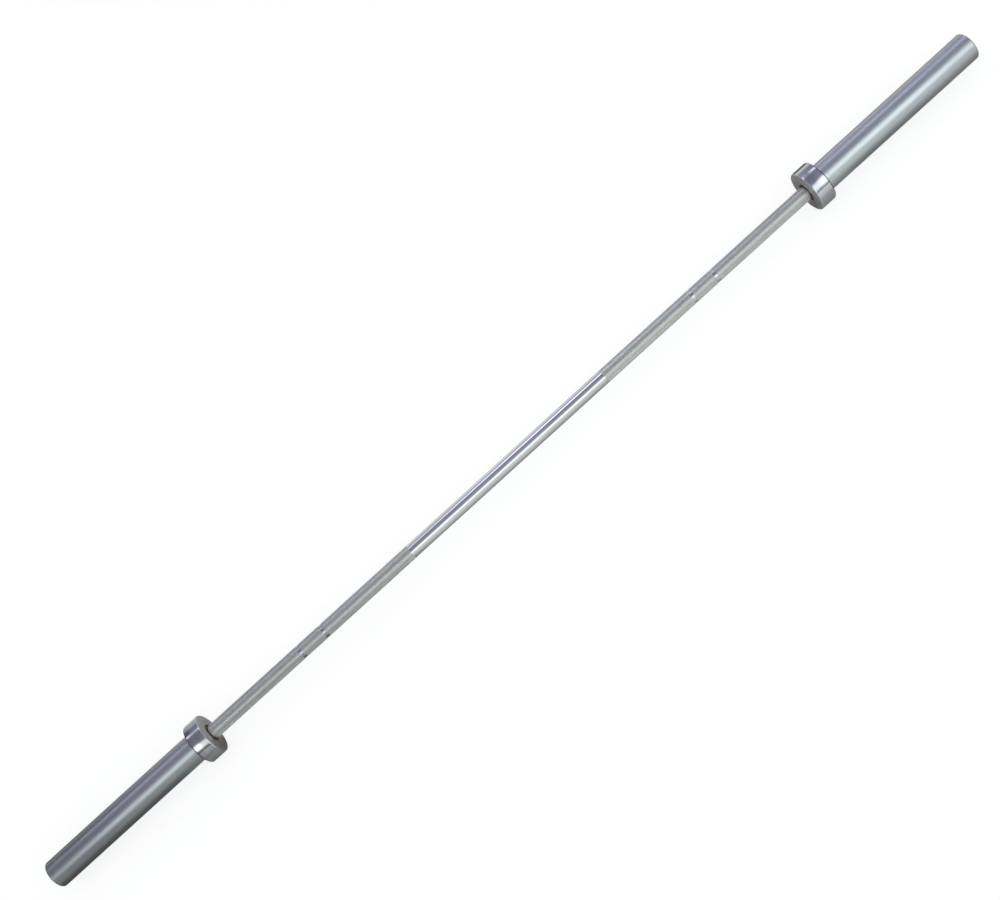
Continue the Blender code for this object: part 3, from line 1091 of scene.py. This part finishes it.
def make_cap_ring(side):
    """The open snap ring that keeps the cap in, with a hole near each of its ends for pliers."""
    inner, outer, radius = side.cap_ring
    bore = radius - CAP_RING_WIDTH
    outline = [(inner, bore), (inner, radius), (outer, radius), (outer, bore)]
    profile = rounded(outline, CAP_RING_EDGE, 2)
    middle = CAP_RING_MIDDLE[side.name]
    reach = math.pi - CAP_RING_OPENING / 2
    bm = bmesh.new()
    rings = []
    for angle in evenly(middle + math.pi - reach, middle + math.pi + reach, CAP_RING_STEPS):
        places = [around(side.sign * along, off_axis, angle) for along, off_axis in profile]
        rings.append([bm.verts.new(place) for place in places])
    for first, second in zip(rings, rings[1:]):
        join_rings(bm, first, second, len(profile))
    bm.faces.new(rings[0])
    bm.faces.new(list(reversed(rings[-1])))
    bmesh.ops.recalc_face_normals(bm, faces=bm.faces)
    hole_radius = radius - CAP_RING_WIDTH / 2
    hole_turn = CAP_RING_OPENING / 2 + PLIERS_HOLE_REACH / hole_radius
    half_way = side.sign * (inner + outer) / 2
    length = 4 * (outer - inner)
    holes = []
    for hand in (-1, 1):
        centre = around(half_way, hole_radius, middle + hand * hole_turn)
        holes.append((centre, Vector((1, 0, 0)), PLIERS_HOLE_RADIUS, length))
    spring = spring_finish()
    bm = drilled(bm, [spring], holes)
    name = f"{side.name}_cap_ring"
    add_piece(name, bm, [spring], side.body, side.node("cap_snap_ring"))


def hidden_fittings():
    """Gives the fittings inside the sleeves, which keep their CAD shapes, their own finishes."""
    bright = (0.42, 0.42, 0.44)
    chosen = {
        "inner_bushing": bronze_finish(),
        "outer_bushing": bronze_finish(),
        "outer_thrust_washer": finish_named(
            "washer_steel", plain_steel, colour=bright, roughness=0.3
        ),
        "shaft_snap_ring": spring_finish(),
        "cap_seal": finish_named("seal_rubber", seal_rubber),
    }
    for side in SIDES:
        for piece, finish in chosen.items():
            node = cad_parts[side.node(piece)]
            for slot in node.material_slots:
                slot.material = finish


def seen_rays(finish):
    """1 for rays that look at the background, straight or in a reflection, and 0 for lighting."""
    camera = finish.node("LightPath", out="Is Camera Ray")
    glossy = finish.node("LightPath", out="Is Glossy Ray")
    through = finish.node("LightPath", out="Is Transmission Ray")
    return camera.maths("MAXIMUM", glossy).maths("MAXIMUM", through)


def studio_world():
    """White to look at, and a weaker even fill as light."""
    world = bpy.data.worlds.new("studio")
    finish = Finish(world)
    white = rgba((1, 1, 1))
    fill = finish.node("Background", None, {"Color": white, "Strength": WORLD_FILL})
    shown = finish.node("Background", None, {"Color": white, "Strength": 1.0})
    mixed = finish.node("MixShader", None, {"Fac": seen_rays(finish), 1: fill, 2: shown})
    finish.node("OutputWorld", None, {"Surface": mixed})
    bpy.context.scene.world = world


def studio_floor():
    """A wide white floor at the foot of the collars, which keeps a soft shadow."""
    size = FLOOR_HALF_SIZE
    corners = [(-size, -size), (size, -size), (size, size), (-size, size)]
    bm = bmesh.new()
    bm.faces.new([bm.verts.new((x, y, FLOOR_LEVEL)) for x, y in corners])
    finish = new_finish("studio_floor")
    fill = finish.node("BsdfDiffuse", None, {"Color": rgba([FLOOR_FILL] * 3)})
    matt = finish.node("BsdfDiffuse", None, {"Color": rgba([FLOOR_MATT] * 3)})
    glow = finish.node("Emission", None, {"Color": rgba((1, 1, 1)), "Strength": FLOOR_GLOW})
    shown = finish.node("AddShader", None, {0: matt, 1: glow})
    mixed = finish.node("MixShader", None, {"Fac": seen_rays(finish), 1: fill, 2: shown})
    finish.node("OutputMaterial", None, {"Surface": mixed})
    in_scene("studio_floor", mesh_of("studio_floor", bm, [finish.owner]))


def between(stops, place):
    """The level at a place, on straight lines between (place, level) stops."""
    if place <= stops[0][0]:
        return stops[0][1]
    for (start, first), (end, second) in zip(stops, stops[1:]):
        if place <= end:
            return first + (second - first) * (place - start) / (end - start)
    return stops[-1][1]


def glowing_sheet(name, columns, colour, lights=False):
    """A glowing stage sheet from columns of (corner, strength).

    Only reflections see it, and where it lights, it is a lamp as well.
    """
    bm = bmesh.new()
    glow = bm.verts.layers.float_color.new("glow")
    grid = []
    for column in columns:
        grid.append([])
        for corner, strength in column:
            vertex = bm.verts.new(corner)
            vertex[glow] = rgba(scaled(colour, strength))
            grid[-1].append(vertex)
    for first, second in zip(grid, grid[1:]):
        for index in range(len(first) - 1):
            bm.faces.new((first[index], second[index], second[index + 1], first[index + 1]))
    finish = new_finish(name)
    tint = finish.node("Attribute", {"attribute_name": "glow"})
    shader = finish.node("Emission", None, {"Color": tint})
    finish.node("OutputMaterial", None, {"Surface": shader})
    sheet = in_scene(name, mesh_of(name, bm, [finish.owner]))
    sheet.visible_camera = False
    sheet.visible_shadow = False
    sheet.visible_diffuse = lights


def soft_box(name, edges, levels, shares, colour, lights=False):
    """A curved soft box or card along the bar.

    Its low and high edges are (place along the bar, elevation in degrees) stops. Elevations are seen
    from the bar: 0 is the front horizon, 90 overhead and 180 the back horizon. The levels are
    (how far up the card, strength) stops and the shares (place along the bar, share) stops.
    """
    columns = []
    for along in evenly(-STUDIO_HALF_LENGTH, STUDIO_HALF_LENGTH, CARD_COLUMNS):
        low, high = (between(edge, along) for edge in edges)
        column = []
        for up in evenly(0.0, 1.0, CARD_ROWS):
            angle = math.radians(low + (high - low) * up)
            place = (along, -STUDIO_RADIUS * math.cos(angle), STUDIO_RADIUS * math.sin(angle))
            column.append((place, between(levels, up) * between(shares, along)))
        columns.append(column)
    glowing_sheet(name, columns, colour, lights)


def floor_card(name, side, levels, shares, colour):
    """A dim card on the floor before the bar (side -1) or behind it (side 1), which only reflections
    see; darker close to the bar, it is painted shadow of the bar on the floor.

    The levels are (degrees below the horizon, strength) stops, seen from the bar. It starts at the
    bar's middle, and beside the collars only past their feet. Far from the bar its shares turn into
    those of the front fill.
    """
    inner, outer, _ = RIGHT.collar
    near = math.degrees(math.atan2(-FLOOR_LEVEL, COLLAR_FOOT))
    far = math.degrees(math.atan2(-FLOOR_LEVEL, STUDIO_RADIUS))
    reach = STUDIO_HALF_LENGTH
    spans = [(-reach, -outer, 90.0), (-outer, -inner, near), (-inner, inner, 90.0)]
    spans += [(inner, outer, near), (outer, reach, 90.0)]
    for index, (start, end, steepest) in enumerate(spans):
        columns = []
        for along in evenly(start, end, max(2, round((end - start) / FLOOR_CARD_STEP))):
            column = []
            for below in evenly(far, steepest, CARD_ROWS):
                depth = side * -FLOOR_LEVEL / math.tan(math.radians(below))
                own = between(FLOOR_BLEND, below)
                share = between(shares, along) * own + between(FILL_SHARES, along) * (1 - own)
                place = (along, depth, FLOOR_LEVEL + FLOOR_CARD_LIFT)
                # Painted shadow: the strength is mostly lower close to the bar, where the bar shades
                # the floor
                column.append((place, between(levels, below) * share))
            columns.append(column)
        glowing_sheet(f"{name}_{index + 1}", columns, colour)


def end_card(side):
    """A dark card high beyond an end of the bar."""
    x = side.sign * STUDIO_HALF_LENGTH
    columns = []
    for depth in (-STUDIO_RADIUS, STUDIO_RADIUS):
        heights = (END_CARD_FOOT, STUDIO_RADIUS)
        columns.append([((x, depth, height), END_CARD_LEVEL) for height in heights])
    glowing_sheet(f"end_card_{side.name}", columns, LAVENDER)


def studio_panels():
    """Soft boxes and cards about the bar, which its plating mirrors."""
    soft_box("front_fill", (FRONT_HORIZON, LINE_LOW), FILL_LEVELS, FILL_SHARES, WHITE, True)
    soft_box("dark_line", (LINE_LOW, KEY_LOW), LINE_LEVELS, FILL_SHARES, WHITE)
    soft_box("key", (KEY_LOW, KEY_HIGH), KEY_LEVELS, KEY_SHARES, COOL_WHITE, True)
    soft_box("ceiling", (KEY_HIGH, HAIR_LOW), CEILING_LEVELS, CEILING_SHARES, LAVENDER)
    soft_box("hair_light", (HAIR_LOW, HAIR_HIGH), HAIR_LEVELS, HAIR_SHARES, LAVENDER, True)
    soft_box("back_card", (HAIR_HIGH, BACK_HORIZON), BACK_LEVELS, BACK_SHARES, LAVENDER)
    floor_card("floor_card_front_painted_shadow", -1, FLOOR_FRONT_LEVELS, FLOOR_FRONT_SHARES, WHITE)
    floor_card("floor_card_back_painted_shadow", 1, FLOOR_BACK_LEVELS, FLOOR_BACK_SHARES, WHITE)
    for side in SIDES:
        end_card(side)


def photo_camera():
    """The camera: its view of the bar's slope, its distance and its aim follow the photograph."""
    camera = bpy.data.cameras.new("photo_camera")
    camera.sensor_fit = "HORIZONTAL"
    camera.lens = camera.sensor_width * PIXELS_PER_METRE * CAMERA_DISTANCE / IMAGE_WIDTH
    camera.clip_start, camera.clip_end = CAMERA_CLIP
    across = (IMAGE_CENTRE[0] - AXIS_PIXEL[0], AXIS_PIXEL[1] - IMAGE_CENTRE[1])
    slope = (math.cos(BAR_SLOPE), math.sin(BAR_SLOPE))
    aim_along = across[0] * slope[0] + across[1] * slope[1] + PIXELS_FROM_MIDDLE
    aim_above = -across[0] * slope[1] + across[1] * slope[0]
    over = Vector((0, -math.cos(CAMERA_ELEVATION), math.sin(CAMERA_ELEVATION)))
    upward = Vector((0, math.sin(CAMERA_ELEVATION), math.cos(CAMERA_ELEVATION)))
    bar = Vector((1, 0, 0))
    offset = upward * (aim_above / PIXELS_PER_METRE)
    stand = bar * CAMERA_ALONG + over * CAMERA_DISTANCE + offset
    target = bar * (aim_along / PIXELS_PER_METRE) + offset
    back = (stand - target).normalized()
    along = (bar - back * bar.dot(back)).normalized()
    above = back.cross(along)
    right = along * slope[0] - above * slope[1]
    up = along * slope[1] + above * slope[0]
    turn = Matrix((right, up, back)).transposed().to_4x4()
    made = in_scene("photo_camera", camera)
    made.matrix_world = Matrix.Translation(stand) @ turn
    bpy.context.scene.camera = made


class BARBELL_OT_stage(bpy.types.Operator):
    """Makes the floor, the soft boxes, the dark cards and the camera"""

    bl_idname = "barbell.stage"
    bl_label = "Studio"

    def execute(self, context):
        studio_world()
        studio_floor()
        studio_panels()
        photo_camera()
        context.scene.view_settings.view_transform = "Standard"
        return {"FINISHED"}


class BARBELL_OT_shaft(bpy.types.Operator):
    """Makes the polished shaft with its mark rings and journals"""

    bl_idname = "barbell.shaft"
    bl_label = "Shaft"

    def execute(self, context):
        make_shaft()
        return {"FINISHED"}


class BARBELL_OT_knurling(bpy.types.Operator):
    """Cuts the diamond knurling of the grips"""

    bl_idname = "barbell.knurling"
    bl_label = "Knurling"

    def execute(self, context):
        make_knurling()
        return {"FINISHED"}


class BARBELL_OT_sleeves(bpy.types.Operator):
    """Makes the two satin sleeves"""

    bl_idname = "barbell.sleeves"
    bl_label = "Sleeves"

    def execute(self, context):
        for side in SIDES:
            make_sleeve(side)
        return {"FINISHED"}


class BARBELL_OT_collars(bpy.types.Operator):
    """Makes the two polished collars"""

    bl_idname = "barbell.collars"
    bl_label = "Collars"

    def execute(self, context):
        for side in SIDES:
            make_collar(side)
        return {"FINISHED"}


class BARBELL_OT_caps(bpy.types.Operator):
    """Makes the end caps with their snap rings"""

    bl_idname = "barbell.caps"
    bl_label = "End caps"

    def execute(self, context):
        for side in SIDES:
            make_cap(side)
            make_cap_ring(side)
        return {"FINISHED"}


class BARBELL_OT_fittings(bpy.types.Operator):
    """Makes the bronze washers and the pins, and finishes the fittings inside the sleeves"""

    bl_idname = "barbell.fittings"
    bl_label = "Fittings"

    def execute(self, context):
        for side in SIDES:
            make_washer(side)
            make_pin(side)
        hidden_fittings()
        return {"FINISHED"}


STEPS = (
    BARBELL_OT_stage,
    BARBELL_OT_shaft,
    BARBELL_OT_knurling,
    BARBELL_OT_sleeves,
    BARBELL_OT_collars,
    BARBELL_OT_caps,
    BARBELL_OT_fittings,
)


class BARBELL_PT_panel(bpy.types.Panel):
    """Lists the barbell's sizes, colours and steps"""

    bl_idname = "BARBELL_PT_panel"
    bl_label = "Barbell"
    bl_space_type = "VIEW_3D"
    bl_region_type = "UI"
    bl_category = "Barbell"

    def draw(self, context):
        column = self.layout.column()
        for name in BarbellLooks.__annotations__:
            column.prop(context.scene.barbell_looks, name)
        for step in STEPS:
            column.operator(step.bl_idname)


CLASSES = (BarbellLooks, *STEPS, BARBELL_PT_panel)


def register():
    for cls in CLASSES:
        bpy.utils.register_class(cls)
    bpy.types.Scene.barbell_looks = PointerProperty(type=BarbellLooks)


def unregister():
    del bpy.types.Scene.barbell_looks
    for cls in reversed(CLASSES):
        bpy.utils.unregister_class(cls)


def main():
    """Registers the add-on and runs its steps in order."""
    register()
    bpy.ops.barbell.stage()
    bpy.ops.barbell.shaft()
    bpy.ops.barbell.knurling()
    bpy.ops.barbell.sleeves()
    bpy.ops.barbell.collars()
    bpy.ops.barbell.caps()
    bpy.ops.barbell.fittings()


if __name__ == "__main__":
    main()
